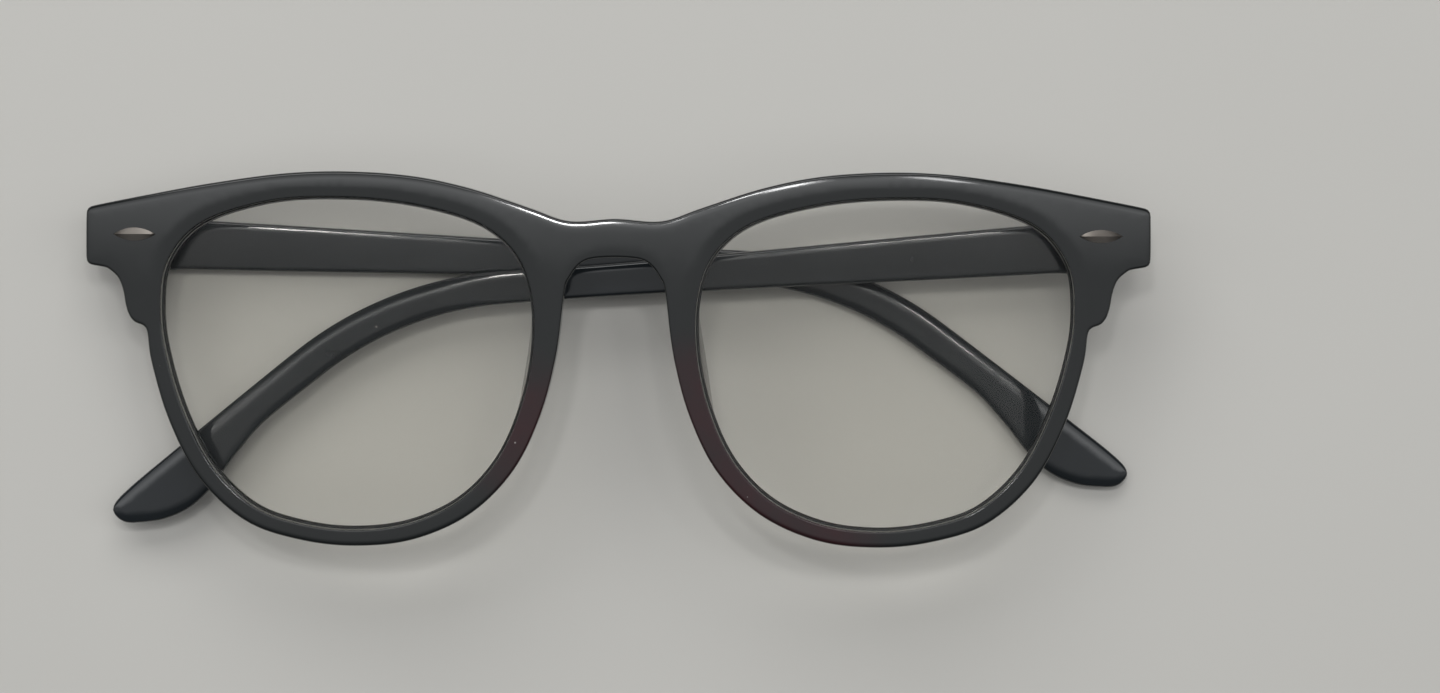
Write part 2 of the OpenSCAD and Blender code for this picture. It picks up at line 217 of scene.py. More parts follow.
class GlassesSizes(bpy.types.PropertyGroup):
    """Sizes of the finished edges and of the mesh, in metres."""

    edge_round: bpy.props.FloatProperty(
        name="Edge Round",
        description="Radius of the front's outer edge",
        default=0.3 * MM, min=0.1 * MM, max=1.0 * MM, precision=5, unit="LENGTH",
    )
    edge_fall: bpy.props.FloatProperty(
        name="Edge Fall",
        description="How far the front's face falls away towards its outer edge",
        default=0.08 * MM, min=0.0, max=0.6 * MM, precision=5, unit="LENGTH",
    )
    opening_fall: bpy.props.FloatProperty(
        name="Opening Fall",
        description="How far the front's face falls away towards a lens",
        default=0.15 * MM, min=0.0, max=0.5 * MM, precision=5, unit="LENGTH",
    )
    temple_round: bpy.props.FloatProperty(
        name="Temple Round",
        description="Radius of a temple's long edges",
        default=0.35 * MM, min=0.2 * MM, max=1.2 * MM, precision=5, unit="LENGTH",
    )
    temple_fall: bpy.props.FloatProperty(
        name="Temple Fall",
        description="How far a temple's faces fall away towards their edges",
        default=0.16 * MM, min=0.0, max=0.4 * MM, precision=5, unit="LENGTH",
    )
    plaque_rise: bpy.props.FloatProperty(
        name="Plaque Rise",
        description="Height of a plaque's ridge above the face",
        default=0.35 * MM, min=0.1 * MM, max=0.6 * MM, precision=5, unit="LENGTH",
    )
    mesh_step: bpy.props.FloatProperty(
        name="Mesh Step",
        description="Distance between points along an edge",
        default=0.45 * MM, min=0.2 * MM, max=2.0 * MM, precision=5, unit="LENGTH",
    )


class GlassesColours(bpy.types.PropertyGroup):
    """Colours of the finishes, in linear light."""

    frame_black: bpy.props.FloatVectorProperty(
        name="Frame Black", description="The front's glossy plastic",
        subtype="COLOR", size=3, min=0.0, max=1.0, default=(0.0095, 0.0110, 0.0112),
    )
    # Painted glow: the red of light shining through the thin dark-red plastic of the nasal rims
    frame_wine_glow: bpy.props.FloatVectorProperty(
        name="Frame Wine", description="The wine-red depth on the nose side of the rims",
        subtype="COLOR", size=3, min=0.0, max=1.0, default=(0.026, 0.0065, 0.0085),
    )
    temple_black: bpy.props.FloatVectorProperty(
        name="Temple Black", description="The temples' blue-black plastic",
        subtype="COLOR", size=3, min=0.0, max=1.0, default=(0.0100, 0.0122, 0.0140),
    )
    lens_tint: bpy.props.FloatVectorProperty(
        name="Lens Tint", description="The lenses' faint warm grey",
        subtype="COLOR", size=3, min=0.0, max=1.0, default=(0.905, 0.90, 0.88),
    )
    ground_edge: bpy.props.FloatVectorProperty(
        name="Ground Edge", description="The lenses' ground edge, where it shows through them",
        subtype="COLOR", size=3, min=0.0, max=1.0, default=(0.44, 0.44, 0.42),
    )
    nickel: bpy.props.FloatVectorProperty(
        name="Nickel", description="The plaques' satin plate",
        subtype="COLOR", size=3, min=0.0, max=1.0, default=(0.2, 0.183, 0.165),
    )
    steel: bpy.props.FloatVectorProperty(
        name="Steel", description="Hinge leaves, screws and temple wires",
        subtype="COLOR", size=3, min=0.0, max=1.0, default=(0.58, 0.58, 0.57),
    )
    floor: bpy.props.FloatVectorProperty(
        name="Floor", description="The pale floor",
        subtype="COLOR", size=3, min=0.0, max=1.0, default=(0.54, 0.53, 0.50),
    )


def sizes():
    """The sizes in millimetres, by name."""
    group = bpy.context.scene.glasses_sizes
    return {name: getattr(group, name) / MM for name in group.__annotations__}


def colour(name):
    return (*getattr(bpy.context.scene.glasses_colours, name), 1.0)


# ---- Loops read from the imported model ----


def hinge_place(body):
    return Vector(next(j["pos_m"] for j in frame["joints"] if j["child"] == body))


def node_points(node, axes):
    """A node's points in millimetres of the given axes."""
    inverse = axes.inverted()
    return np.array([inverse @ v.co for v in frame["nodes"][node].data.vertices]) / MM


def edge_loops(node, facing, axes, keep):
    """Closed loops where faces that look along facing meet others, in millimetres of axes, longest first."""
    inverse = axes.inverted()
    mesh = bmesh.new()
    mesh.from_mesh(frame["nodes"][node].data)
    bmesh.ops.remove_doubles(mesh, verts=mesh.verts, dist=WELD)
    mesh.normal_update()
    beside = {}
    places = {v.index: (inverse @ v.co) / MM for v in mesh.verts}
    for edge in mesh.edges:
        looks = [face.normal.dot(facing) > LOOKS_ALONG for face in edge.link_faces]
        a, b = (v.index for v in edge.verts)
        if sum(looks) == 1 and keep(places[a]) and keep(places[b]):
            beside.setdefault(a, []).append(b)
            beside.setdefault(b, []).append(a)
    mesh.free()
    loops = []
    while beside:
        here = next(iter(beside))
        loop = []
        while here in beside:
            loop.append(places[here])
            onward = [v for v in beside.pop(here) if v in beside]
            if not onward:
                break
            here = onward[0]
        if len(loop) > 2:
            loops.append(np.array(loop))
    if not loops:
        raise RuntimeError(f"{node} shows no closed edge along {tuple(facing)}")
    return sorted(loops, key=lambda points: -len_of(points))


def len_of(points):
    return float(np.linalg.norm(np.roll(points, -1, 0) - points, axis=1).sum())


def corners_only(points):
    """The loop without the points that lie on a straight run."""
    before = points - np.roll(points, 1, 0)
    after = np.roll(points, -1, 0) - points
    lengths = np.linalg.norm(before, axis=1) * np.linalg.norm(after, axis=1) + 1e-12
    turn = np.abs(before[:, 0] * after[:, 1] - before[:, 1] * after[:, 0]) / lengths
    return points[turn > math.sin(CORNER_TURN)]


def smooth_loop(points, step):
    """A closed curve through the loop's corners, in even steps, softened over a short length."""
    points = corners_only(points[:, :2])
    dense = []
    count = len(points)
    for i in range(count):
        p = [points[(i + k - 1) % count] for k in range(4)]
        knots = [0.0]
        for k in range(3):
            knots.append(knots[-1] + max(np.linalg.norm(p[k + 1] - p[k]), 1e-6) ** 0.5)
        for t in np.linspace(knots[1], knots[2], CURVE_POINTS, endpoint=False):
            a = [lerp(p[k], p[k + 1], knots[k], knots[k + 1], t) for k in range(3)]
            b = [lerp(a[k], a[k + 1], knots[k], knots[k + 2], t) for k in range(2)]
            dense.append(lerp(b[0], b[1], knots[1], knots[2], t))
    fine = even_steps(np.array(dense), step / 4)
    spread = SOFTEN / (step / 4)
    reach = int(3 * spread) + 1
    weights = np.exp(-0.5 * (np.arange(-reach, reach + 1) / spread) ** 2)
    weights /= weights.sum()
    padded = np.concatenate([fine[-reach:], fine, fine[:reach]])
    soft = np.stack([np.convolve(padded[:, k], weights, "valid") for k in range(2)], axis=1)
    return counter_clockwise(even_steps(soft, step))


def lerp(a, b, from_t, to_t, t):
    return ((to_t - t) * a + (t - from_t) * b) / (to_t - from_t)


def even_steps(points, step):
    closed = np.concatenate([points, points[:1]])
    along = np.concatenate([[0.0], np.cumsum(np.linalg.norm(np.diff(closed, axis=0), axis=1))])
    count = max(int(round(along[-1] / step)), 8)
    at = np.arange(count) * along[-1] / count
    return np.stack([np.interp(at, along, closed[:, k]) for k in range(2)], axis=1)


def counter_clockwise(points):
    after = np.roll(points, -1, 0)
    area = (points[:, 0] * after[:, 1] - points[:, 1] * after[:, 0]).sum()
    return points if area > 0 else points[::-1]


def outward(points):
    """Unit vectors out of a counter-clockwise loop."""
    along = np.roll(points, -1, 0) - np.roll(points, 1, 0)
    along /= np.linalg.norm(along, axis=1)[:, None]
    return np.stack([along[:, 1], -along[:, 0]], axis=1)


def inside(points, loop):
    """Whether each point lies inside the loop."""
    x, y = points[:, 0], points[:, 1]
    odd = np.zeros(len(points), bool)
    for (ax, ay), (bx, by) in zip(loop, np.roll(loop, -1, 0)):
        if ay != by:
            odd ^= ((ay > y) != (by > y)) & (x < (bx - ax) * (y - ay) / (by - ay) + ax)
    return odd


def between(points, loops):
    """Whether each point lies inside the first loop and outside the others."""
    solid = inside(points, loops[0])
    for hole in loops[1:]:
        solid &= ~inside(points, hole)
    return solid


def nearest(points, loops):
    """Each point's distance to the nearest of the loops."""
    tree = KDTree(sum(len(loop) for loop in loops))
    for index, place in enumerate(np.concatenate(loops)):
        tree.insert((*place, 0.0), index)
    tree.balance()
    return np.array([tree.find((x, y, 0.0))[2] for x, y in points])


def axes_of(*columns):
    """The matrix whose columns are three directions and a place."""
    axes = Matrix.Identity(4)
    for column, value in enumerate(columns):
        for row in range(3):
            axes[row][column] = value[row]
    return axes


# ---- Skins ----


class Skin:
    """The points and faces of one piece, in millimetres of its own axes."""

    def __init__(self):
        self.points = []
        self.faces = []
        self.marks = {}

    def ring(self, flat, z):
        start = len(self.points)
        self.points += [(x, y, h) for (x, y), h in zip(flat, z)]
        return list(range(start, len(self.points)))

    def strip(self, a, b):
        after_a, after_b = a[1:] + a[:1], b[1:] + b[:1]
        self.faces += list(zip(a, after_a, after_b, b))

    def rings(self, sections):
        """Joins rings given as (flat points, heights) and returns the first and the last one."""
        made = [self.ring(flat, z) for flat, z in sections]
        for a, b in zip(made, made[1:]):
            self.strip(a, b)
        return made[0], made[-1]

    def cap(self, borders, rows, height, step):
        """Fills the room between borders, the outer one first, with triangles that follow height(flat)."""
        edges = [np.array([self.points[i][:2] for i in border]) for border in borders]
        free = hexagons(edges[0].min(0), edges[0].max(0), step)
        if rows:
            apart = nearest(free, rows + edges) > step * CAP_APART
            free = np.concatenate([free[apart]] + rows)
        free = free[between(free, edges)]
        free = free[nearest(free, edges) > CAP_CLEAR]
        indices = [i for border in borders for i in border] + self.ring(free, height(free))
        flat = [Vector(self.points[i][:2]) for i in indices]
        fixed = []
        start = 0
        for border in borders:
            count = len(border)
            fixed += [(start + i, start + (i + 1) % count) for i in range(count)]
            start += count
        _, _, triangles, origin, _, _ = geometry.delaunay_2d_cdt(flat, fixed, [], 1, 1e-7)
        corners = [[indices[origin[v][0]] for v in triangle] for triangle in triangles]
        middles = np.array([np.mean([self.points[i][:2] for i in c], axis=0) for c in corners])
        self.faces += [tuple(c) for c, keep in zip(corners, between(middles, edges))
                       if keep and len(set(c)) == 3]

    def build(self, name, axes, sharp=38.0):
        """The finished mesh object, outside out, with crisp edges where faces turn by more than sharp."""
        mesh = bpy.data.meshes.new(name)
        mesh.from_pydata([axes @ (Vector(p) * MM) for p in self.points], [], self.faces)
        shell = bmesh.new()
        shell.from_mesh(mesh)
        bmesh.ops.recalc_face_normals(shell, faces=shell.faces)
        shell.to_mesh(mesh)
        shell.free()
        mesh.shade_smooth()
        mesh.set_sharp_from_angle(angle=math.radians(sharp))
        piece = bpy.data.objects.new(name, mesh)
        bpy.context.scene.collection.objects.link(piece)
        for mark, indices in self.marks.items():
            piece.vertex_groups.new(name=mark).add(indices, 1.0, "REPLACE")
        return piece


def hexagons(low, high, step):
    """A hexagonal grid of points over a box."""
    grid = []
    for i, y in enumerate(np.arange(low[1], high[1], step * math.sqrt(3) / 2)):
        x = np.arange(low[0] + (i % 2) * step / 2, high[0], step)
        grid.append(np.stack([x, np.full(len(x), y)], axis=1))
    return np.concatenate(grid)


def inset_rows(loop, out, insets, walls):
    """Free points at each inset from a loop, but for those that another wall is nearer to."""
    rows = []
    for inset in insets:
        row = loop - out * inset
        rows.append(row[nearest(row, walls) > ROW_SHARE * inset - ROW_SLACK])
    return rows


def inset_sections(loop, out, insets, height):
    """Sections along an edge: the loop moved in by each inset, at the height it has there."""
    flats = [loop - out * inset for inset in insets]
    return [(flat, height(flat, inset)) for flat, inset in zip(flats, insets)]


def distance(flat, loops, known):
    """The distance to the nearest loop, unless it is known."""
    return nearest(flat, loops) if known is None else known


def round_off(d, radius):
    """How far a rounded edge lies under its face at a distance from the edge."""
    d = np.clip(d, 0, radius)
    return radius - np.sqrt(np.maximum(radius * radius - (radius - d) ** 2, 0))


def fall(d, depth, width):
    """How far a face falls away over a width from its edge."""
    return depth * (1 - np.clip(d / width, 0, 1)) ** 2


def ramp(low, high, x):
    t = np.clip((x - low) / (high - low), 0, 1)
    return t * t * (3 - 2 * t)


# ---- Front ----


def face_z(flat, depth=0.0):
    """Height of the curved face, or of a surface at a depth under it."""
    return np.sqrt((FACE_RADIUS - depth) ** 2 - (flat ** 2).sum(1)) - FACE_RADIUS


def curved_sections(loop, out, pairs):
    """Sections that follow the face, each as far out and as deep as its pair says."""
    flats = [loop + out * past for past, _ in pairs]
    return [(flat, face_z(flat, depth)) for flat, (_, depth) in zip(flats, pairs)]


def front_axes():
    """The front's own axes: x across, y up, z out of its face, from the face's middle."""
    left, right = hinge_place("left_temple"), hinge_place("right_temple")
    across = (left - right).normalized()
    middle = (left + right) / 2
    axes = axes_of(across, UP, across.cross(UP), middle - UP * middle.y)
    points = node_points("front_frame", axes)
    apex = (points[:, 2] - face_z(points[:, :2])).max()
    return axes @ Matrix.Translation((0, 0, apex * MM))


def front_loops(axes):
    """The front's outline and its right and left lens openings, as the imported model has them."""
    def on_face(p):
        return abs(Vector((p.x, p.y, p.z + FACE_RADIUS)).length - FACE_RADIUS) < ON_FACE

    loops = edge_loops("front_frame", axes.to_3x3() @ Vector((0, 0, 1)), axes, on_face)
    step = sizes()["mesh_step"]
    outline, *openings = [smooth_loop(loop, step) for loop in loops[:3]]
    openings.sort(key=lambda loop: loop[:, 0].mean())
    return outline, openings


def front_back(axes, openings):
    """Returns the height of the front's back, without its rounded edges."""
    hinge = axes.inverted() @ hinge_place("left_temple") / MM
    lowest = node_points("front_hinge_left", axes)[:, 2].min()
    knuckle = hinge.z - lowest
    seat_z = hinge.z + knuckle
    seat_in = openings[1][:, 0].max() + SEAT_PAST_OPENING
    wall_x = hinge.x + knuckle + WALL_PAST_KNUCKLE

    def back(flat):
        x, y = np.abs(flat[:, 0]), flat[:, 1]
        pad = PAD_BACK
        down = -(y + PAD_LOW)
        along = (down * math.cos(PAD_SIDE) + (x - PAD_X) * math.sin(PAD_SIDE)) / PAD_HALF
        beside = ((x - PAD_X) * math.cos(PAD_SIDE) - down * math.sin(PAD_SIDE)) / PAD_WIDE
        for share in (along, beside):
            pad = pad * np.clip(1 - share ** 2, 0, 1) ** PAD_BULGE
        z = face_z(flat, FRONT_T) - pad
        block = ramp(seat_in - SEAT_RAMP[0], seat_in - SEAT_RAMP[1], x)
        block = block * ramp(BLOCK_LOW - BLOCK_RAMP, BLOCK_LOW, y)
        z = z * (1 - block) + seat_z * block
        stop = ramp(wall_x, wall_x + STOP_RAMP, x)
        return z * (1 - stop) + (hinge.z + STOP_ABOVE_AXIS) * stop

    return back


class GLASSES_OT_front(bpy.types.Operator):
    """Build the front with its rounded rims, lens grooves, nose pads and hinge seats"""

    bl_idname = "glasses.front"
    bl_label = "Build Front"

    def execute(self, context):
        size = sizes()
        axes = front_axes()
        outline, openings = front_loops(axes)
        back = front_back(axes, openings)
        out = outward(outline)
        skin = Skin()

        def face(flat, d_out=None, d_in=None):
            d_out, d_in = distance(flat, [outline], d_out), distance(flat, openings, d_in)
            return (face_z(flat) - round_off(d_out, size["edge_round"])
                    - fall(d_out, size["edge_fall"], EDGE_FALL_WIDTH) - round_off(d_in, OPENING_ROUND)
                    - fall(d_in, size["opening_fall"], OPENING_FALL_WIDTH))

        def rear(flat, d_out=None, d_in=None):
            d_out, d_in = distance(flat, [outline], d_out), distance(flat, openings, d_in)
            return (back(flat) + round_off(d_out, REAR_ROUND) + fall(d_out, REAR_FALL, REAR_FALL_WIDTH)
                    + round_off(d_in + REAR_LIP, LIP_ROUND))

        sections = inset_sections(outline, out, STRIP_INSETS, face)
        top, bottom = sections[-1][1], rear(outline, d_out=0.0)
        sections += [(outline, top + (bottom - top) * share) for share in WALL_SHARES]
        sections += inset_sections(outline, out, STRIP_INSETS[::-1], rear)
        front_borders, back_borders = ([border] for border in skin.rings(sections))
        front_rows = inset_rows(outline, out, ROW_INSETS, [outline] + openings)
        back_rows = list(front_rows)

        groove_front = LENS_DEPTH - LENS_PLAY
        groove_back = LENS_DEPTH + LENS_T + LENS_PLAY
        for side, opening in zip(SIDES[::-1], openings):
            away = outward(opening)
            sections = inset_sections(opening, -away, STRIP_INSETS, lambda flat, d: face(flat, d_in=d))
            start = len(skin.points) + (len(STRIP_INSETS) - 1) * len(opening)
            skin.marks["opening_" + side] = list(range(start, start + len(opening)))
            sections += curved_sections(opening, away, ((0, groove_front), (GROOVE, groove_front),
                                                        (GROOVE, groove_back), (-REAR_LIP, groove_back)))
            sections += inset_sections(opening, -away, [inset - REAR_LIP for inset in STRIP_INSETS[::-1]],
                                       lambda flat, d: rear(flat, d_in=d))
            front_border, back_border = skin.rings(sections)
            front_borders.append(front_border)
            back_borders.append(back_border)
            front_rows += inset_rows(opening, -away, ROW_INSETS, [outline] + openings)
            lip = opening - away * REAR_LIP
            back_rows += inset_rows(lip, -away, ROW_INSETS, [outline, lip])

        def rear_free(flat):
            d_in = nearest(flat, openings)
            for opening in openings:
                d_in = np.where(inside(flat, opening), -d_in, d_in)
            return rear(flat, d_in=d_in)

        step = size["mesh_step"] * CAP_STEPS
        skin.cap(front_borders, front_rows, face, step)
        skin.cap(back_borders, back_rows, rear_free, step)
        self.flare_pads(skin)
        piece = skin.build("front_shell", axes)
        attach(piece, "front")
        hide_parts("front_frame")
        piece.data.materials.append(frame_plastic(piece))
        return {"FINISHED"}

    def flare_pads(self, skin):
        """Leans the nose pads apart towards their backs."""
        for i, (x, y, z) in enumerate(skin.points):
            under = float(face_z(np.array([(x, y)]), FRONT_T)[0]) - z
            if under > 0 and abs(x) < PAD_X + PAD_HALF:
                skin.points[i] = (x + math.copysign(PAD_FLARE * under, x), y, z)


# ---- Lenses ----


class GLASSES_OT_lenses(bpy.types.Operator):
    """Build the two lenses, curved with the front and bevelled to sit in its grooves"""

    bl_idname = "glasses.lenses"
    bl_label = "Build Lenses"

    def execute(self, context):
        axes = front_axes()
        _, openings = front_loops(axes)
        # The ground edge twice: plain, and a copy with painted shade
        materials = (lens_plastic(), ground_plastic("lens_ground", painted_shade_share=0.0),
                     ground_plastic("lens_ground_painted_shade", painted_shade_share=1.0))
        skipped = bpy.data.collections.new("panel_skips")
        for side, opening in zip(SIDES[::-1], openings):
            out = outward(opening)
            skin = Skin()
            first, last = skin.rings(curved_sections(opening, out, GROUND_EDGE))
            edge_faces = len(skin.faces)
            skin.cap([first], [], lambda flat: face_z(flat, LENS_DEPTH), LENS_CAP_STEP)
            skin.cap([last], [], lambda flat: face_z(flat, LENS_DEPTH + LENS_T), LENS_CAP_STEP)
            piece = skin.build("lens_" + side + "_pane", axes, sharp=20.0)
            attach(piece, "front")
            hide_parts("lens_" + side)
            for material in materials:
                piece.data.materials.append(material)
            # The edge's first ring takes the plain ground edge, and the rest takes the copy with painted
            # shade
            for polygon in piece.data.polygons[:edge_faces]:
                polygon.material_index = 1 if polygon.index < len(opening) else 2
            skipped.objects.link(piece)
        # The panes don't mirror the large soft panel, which would speckle them
        for entry in skipped.collection_objects:
            entry.light_linking.link_state = "EXCLUDE"
        bpy.data.objects["far_panel"].light_linking.receiver_collection = skipped
        return {"FINISHED"}


# ---- Temples ----


def temple_axes(side):
    """A temple's own axes: x along the bar from the hinge, y up, z towards its inner face."""
    node = frame["nodes"]["temple_" + side]
    outer = Vector()
    for polygon in node.data.polygons:
        if -polygon.normal.z > LOOKS_DOWN:
            outer += polygon.normal * polygon.area
    out = -outer.normalized()
    place = hinge_place(side + "_temple")
    along = UP.cross(out)
    low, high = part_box("temple_" + side)
    if along.dot((low + high) / 2 - place) < 0:
        along = -along
    return axes_of(along, UP, out, place)


class GLASSES_OT_temples(bpy.types.Operator):
    """Build the two temples with crowned faces, rounded edges and paddle tips"""

    bl_idname = "glasses.temples"
    bl_label = "Build Temples"

    def execute(self, context):
        size = sizes()
        material = temple_plastic()
        for side in SIDES:
            axes = temple_axes(side)
            node = "temple_" + side
            facing = axes.to_3x3() @ Vector((0, 0, 1))
            lowest = node_points(node, axes)[:, 2].min()
            outer = edge_loops(node, -facing, axes, lambda p: p.z < lowest + ON_OUTER)[0]
            inner = edge_loops(node, facing, axes, lambda p: p.z > lowest + OFF_OUTER)[0]
            order = np.argsort(inner[:, 0])
            run_x, run_z = inner[order, 0], inner[order, 2]
            outline = smooth_loop(outer, size["mesh_step"])
            # The smoothing would bulge the butt, which stands flat on its stop when the temple is open
            outline[:, 0] = np.maximum(outline[:, 0], outer[:, 0].min())
            out = outward(outline)
            tip = outline[:, 0].max()

            def near_tip(flat, start):
                return ramp(tip - start[0], tip - start[1], flat[:, 0])

            def inner_face(flat, d=None):
                d = distance(flat, [outline], d)
                tail, paddle = near_tip(flat, TAIL_START), near_tip(flat, PADDLE_START)
                width = TEMPLE_FALL_WIDTH + TAIL_WIDER * tail + PADDLE_WIDER * paddle
                leaf = LEAF_UNDER * (1 - ramp(*LEAF_END, flat[:, 0]))
                return (np.interp(flat[:, 0], run_x, run_z) - leaf - round_off(d, size["temple_round"])
                        - fall(d, size["temple_fall"] * (1 + TAIL_DEEPER * tail), width))

            def outer_face(flat, d=None):
                d = distance(flat, [outline], d)
                under = round_off(d, size["temple_round"]) + fall(d, size["temple_fall"], OUTER_FALL_WIDTH)
                return np.full(len(flat), lowest) + under

            skin = Skin()
            first, last = skin.rings(inset_sections(outline, out, STRIP_INSETS, inner_face)
                                     + inset_sections(outline, out, STRIP_INSETS[::-1], outer_face))
            rows = inset_rows(outline, out, TEMPLE_ROW_INSETS, [outline])
            step = size["mesh_step"] * CAP_STEPS
            skin.cap([first], rows, inner_face, step)
            skin.cap([last], rows, outer_face, step)
            piece = skin.build("temple_" + side + "_arm", axes)
            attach(piece, side + "_temple")
            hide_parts(node)
            piece.data.materials.append(material)
        return {"FINISHED"}


# ---- Plaques ----


class GLASSES_OT_plaques(bpy.types.Operator):
    """Build the almond plaques on the end pieces, each with a ridge, sunk a little into the face"""

    bl_idname = "glasses.plaques"
    bl_label = "Build Plaques"

    def execute(self, context):
        rise = sizes()["plaque_rise"]
        axes = front_axes()
        material = brushed_metal("plaque_metal")
        for side in SIDES:
            points = node_points("plaque_" + side, axes)
            low, high = points.min(0), points.max(0)
            middle = Vector((low + high) / 2)
            half = np.ptp(points[:, 0]) / 2 / math.cos(middle.x / FACE_RADIUS)
            wide = (high[1] - low[1]) / 2
            bow = (half * half + wide * wide) / (2 * wide)
            out = Vector((middle.x, middle.y, math.sqrt(FACE_RADIUS ** 2 - middle.x ** 2 - middle.y ** 2)))
            out.normalize()
            along = UP.cross(out).normalized()
            place = out * FACE_RADIUS - Vector((0, 0, FACE_RADIUS))
            seat = axes_of(along, out.cross(along), out, place * MM)
            skin = Skin()
            rows = []
            for i in range(PLAQUE_STEPS + 1):
                x = -half * math.cos(math.pi * i / PLAQUE_STEPS)
                edge = max(math.sqrt(bow * bow - x * x) - (bow - wide), PLAQUE_POINT)
                flat = np.array([(x, edge * (2 * k / PLAQUE_ACROSS - 1)) for k in range(PLAQUE_ACROSS + 1)])
                taper = 1 - PLAQUE_TAPER * abs(x / half) ** 3
                ridge = 1 - PLAQUE_FLANK * np.abs(flat[:, 1]) / edge
                rows.append(skin.ring(flat[:1], [-PLAQUE_SUNK]) + skin.ring(flat, rise * ridge * taper)
                            + skin.ring(flat[-1:], [-PLAQUE_SUNK]))
            for a, b in zip(rows, rows[1:]):
                skin.faces += list(zip(a, a[1:], b[1:], b))
            under = [row[0] for row in rows] + [row[-1] for row in reversed(rows)]
            skin.faces += [tuple(rows[0]), tuple(reversed(rows[-1])), tuple(under)]
            piece = skin.build("plaque_" + side + "_plate", axes @ seat, sharp=15.0)
            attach(piece, "front")
            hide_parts("plaque_" + side)
            piece.data.materials.append(material)
        return {"FINISHED"}


# ---- Hinges ----


class GLASSES_OT_hinges(bpy.types.Operator):
    """Finish the hinge leaves, the screws and the wires in the temples"""

    bl_idname = "glasses.hinges"
    bl_label = "Finish Hinges"

    def execute(self, context):
        leaf, screw, wire = [brushed_metal(name) for name in ("hinge_steel", "screw_steel", "core_wire")]
        for side in SIDES:
            for node, material in (("front_hinge_", leaf), ("temple_hinge_", leaf),
                                   ("hinge_screw_", screw), ("temple_core_", wire)):
                piece = frame["nodes"][node + side]
                if not piece.material_slots:
                    piece.data.materials.append(material)
                for slot in piece.material_slots:
                    slot.material = material
        return {"FINISHED"}


# ---- Finishes ----


def new_group(name, inputs, outputs):
    """A shader node group with the named sockets, its given sockets and its output node."""
    group = bpy.data.node_groups.new(name, "ShaderNodeTree")
    for label, value in inputs.items():
        kind = "NodeSocketFloat" if isinstance(value, float) else "NodeSocketVector"
        group.interface.new_socket(name=label, in_out="INPUT", socket_type=kind).default_value = value
    for label in outputs:
        group.interface.new_socket(name=label, in_out="OUTPUT", socket_type="NodeSocketFloat")
    return group, group.nodes.new("NodeGroupInput").outputs, group.nodes.new("NodeGroupOutput")


def feed(tree, node, inputs):
    """Sets a node's inputs, each to a value or to the socket that feeds it."""
    for key, value in inputs.items():
        if isinstance(value, bpy.types.NodeSocket):
            tree.links.new(value, node.inputs[key])
        else:
            node.inputs[key].default_value = value
    return node


def add(tree, kind, inputs=None, **settings):
    """A new node with its settings and its inputs."""
    made = tree.nodes.new("ShaderNode" + kind)
    for name, value in settings.items():
        setattr(made, name, value)
    return feed(tree, made, inputs or {})


def own_place(tree):
    return add(tree, "TexCoord").outputs["Object"]


def maths(tree, kind, *inputs):
    return add(tree, "Math", dict(enumerate(inputs)), operation=kind).outputs[0]


def noise(tree, place, scale, detail, roughness=0.5):
    made = add(tree, "TexNoise", {"Vector": place, "Scale": scale, "Detail": detail, "Roughness": roughness})
    return made.outputs["Fac"]


def remap(tree, value, span=(0.0, 1.0), to=(0.0, 1.0), kind="LINEAR"):
    """A value carried over from one span to another, and held within it."""
    ends = dict(zip(("From Min", "From Max", "To Min", "To Max"), (*span, *to)))
    return add(tree, "MapRange", {"Value": value, **ends}, interpolation_type=kind).outputs[0]


def blend(tree, share, low, high):
    """A colour between two others."""
    return add(tree, "Mix", {0: share, 6: low, 7: high}, data_type="RGBA").outputs[2]


def bump(tree, height, strength, depth):
    return add(tree, "Bump", {"Height": height, "Strength": strength, "Distance": depth}).outputs[0]


def scaled(base, factor):
    """A darker or lighter colour."""
    return [min(1.0, value * factor) for value in base[:3]] + [1.0]


def handling_group():
    """Soft smudges, fine rubbed lines and a little dust, as on plastic that has been handled."""
    name = "Handling Marks"
    if name in bpy.data.node_groups:
        return bpy.data.node_groups[name]
    group, given, put = new_group(name, {"Smudge Size": 9.0 * MM, "Dust": 0.5}, ("Smudge", "Rub", "Dust"))
    place = own_place(group)
    per_size = maths(group, "DIVIDE", 1.0, given["Smudge Size"])
    smudge = remap(group, noise(group, place, per_size, detail=4.0, roughness=0.55), span=(0.35, 0.7))
    drawn = add(group, "Mapping", {"Vector": place, "Scale": (2200.0, 13000.0, 13000.0),
                                   "Rotation": (0.0, 0.0, 0.35)}).outputs[0]
    rub = remap(group, noise(group, drawn, scale=1.0, detail=2.0), span=(0.60, 0.80))
    cells = add(group, "TexVoronoi", {"Vector": place, "Scale": 520.0}, feature="F1").outputs
    speck = remap(group, cells["Distance"], span=(0.075, 0.045))
    chance = add(group, "SeparateColor", {"Color": cells["Color"]}).outputs["Red"]
    rare = maths(group, "GREATER_THAN", chance, 0.93)
    dust = maths(group, "MULTIPLY", maths(group, "MULTIPLY", speck, rare), given["Dust"])
    feed(group, put, {"Smudge": smudge, "Rub": rub, "Dust": dust})
    return group


def grain_group():
    """Fine parallel lines, as left by brushing metal."""
    name = "Brushed Grain"
    if name in bpy.data.node_groups:
        return bpy.data.node_groups[name]
    group, given, put = new_group(name, {"Stretch": (600.0, 14000.0, 14000.0), "Depth": 0.5},
                                  ("Height", "Shade"))
    place = own_place(group)
    drawn = add(group, "Mapping", {"Vector": place, "Scale": given["Stretch"]}).outputs[0]
    lines = noise(group, drawn, scale=1.0, detail=3.0)
    height = maths(group, "MULTIPLY", lines, given["Depth"])
    broad = noise(group, place, scale=350.0, detail=2.0)
    shade = add(group, "Mix", {0: 0.5, 2: lines, 3: broad}, data_type="FLOAT").outputs[0]
    feed(group, put, {"Height": height, "Shade": shade})
    return group


def new_material(name):
    material = bpy.data.materials.new(name)
    material.use_nodes = True
    tree = material.node_tree
    return material, tree, tree.nodes["Principled BSDF"]


